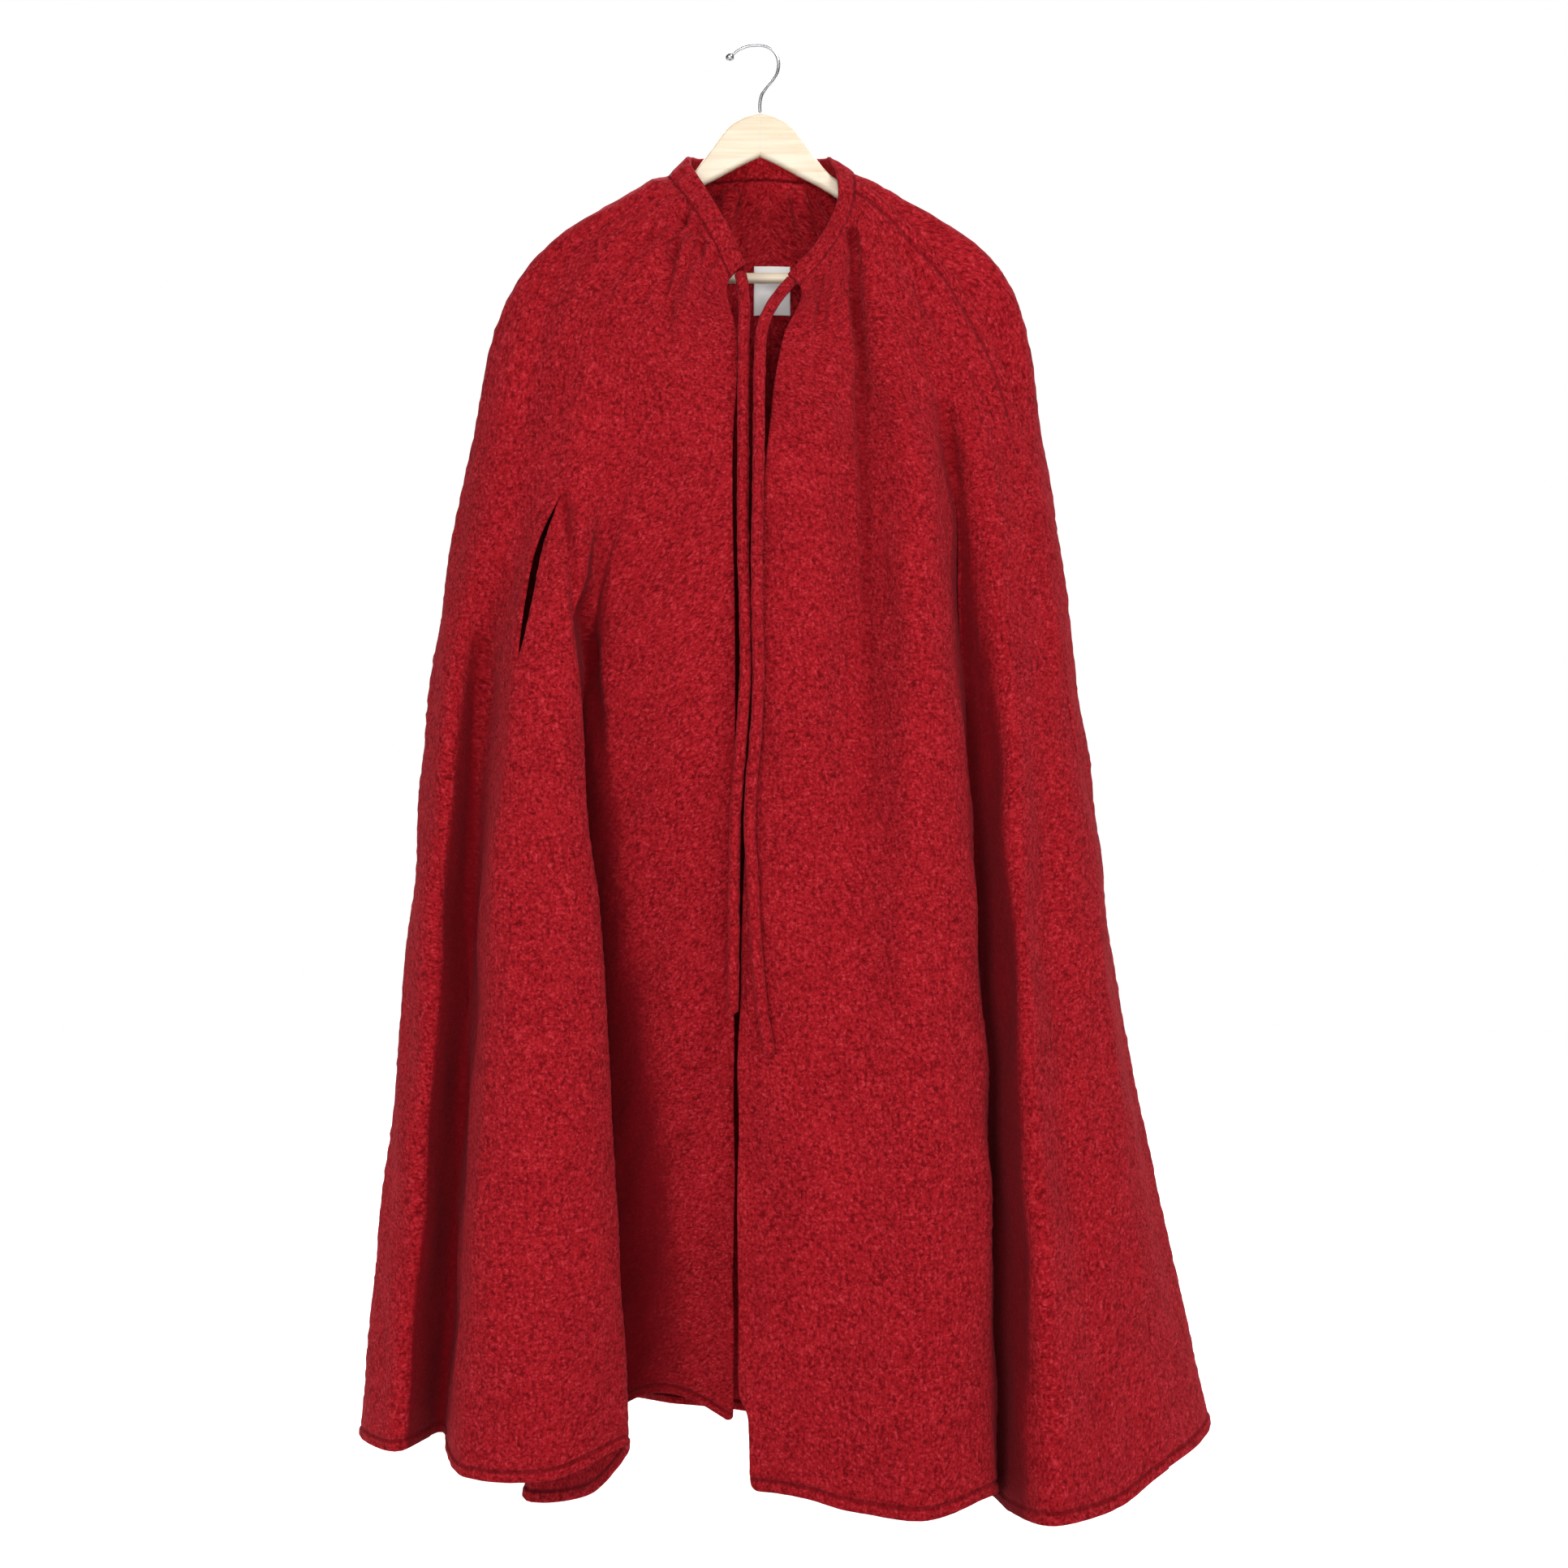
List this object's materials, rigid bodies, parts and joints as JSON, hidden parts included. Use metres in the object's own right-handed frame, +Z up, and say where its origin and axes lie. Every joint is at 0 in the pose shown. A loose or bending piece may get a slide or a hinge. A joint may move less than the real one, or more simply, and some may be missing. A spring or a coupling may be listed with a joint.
{
  "type": "wool cape on a hanger",
  "caption": "Long flared wool cape with a narrow gathered neckband, two long ties and arm slits, hanging open at the front on a flat wooden hanger with a wire hook.",
  "frame": {"origin": "the inside of the top of the hanger's hook, where a rail or wall hook carries it", "axes": "+Z up along the hang, +X to the viewer's right when the front is seen, -Y towards the viewer"},
  "size_m": [0.7967, 0.281, 1.364],
  "materials": {
    "red_wool": "thick boucle wool with a soft nap",
    "label_white": "plain woven, blank",
    "pale_wood": "clear satin varnish",
    "steel_wire": "bright wire"
  },
  "bodies": {
    "root": {"front_right": "red_wool", "front_left": "red_wool", "back_right": "red_wool", "back_left": "red_wool", "neckband": "red_wool", "tie_right": "red_wool", "tie_left": "red_wool", "label": "label_white", "hanger_arm_right": "pale_wood", "hanger_arm_left": "pale_wood", "hanger_bar": "pale_wood", "hanger_hook": "steel_wire", "hanger_hook_ball": "steel_wire"}
  },
  "joints": []
}
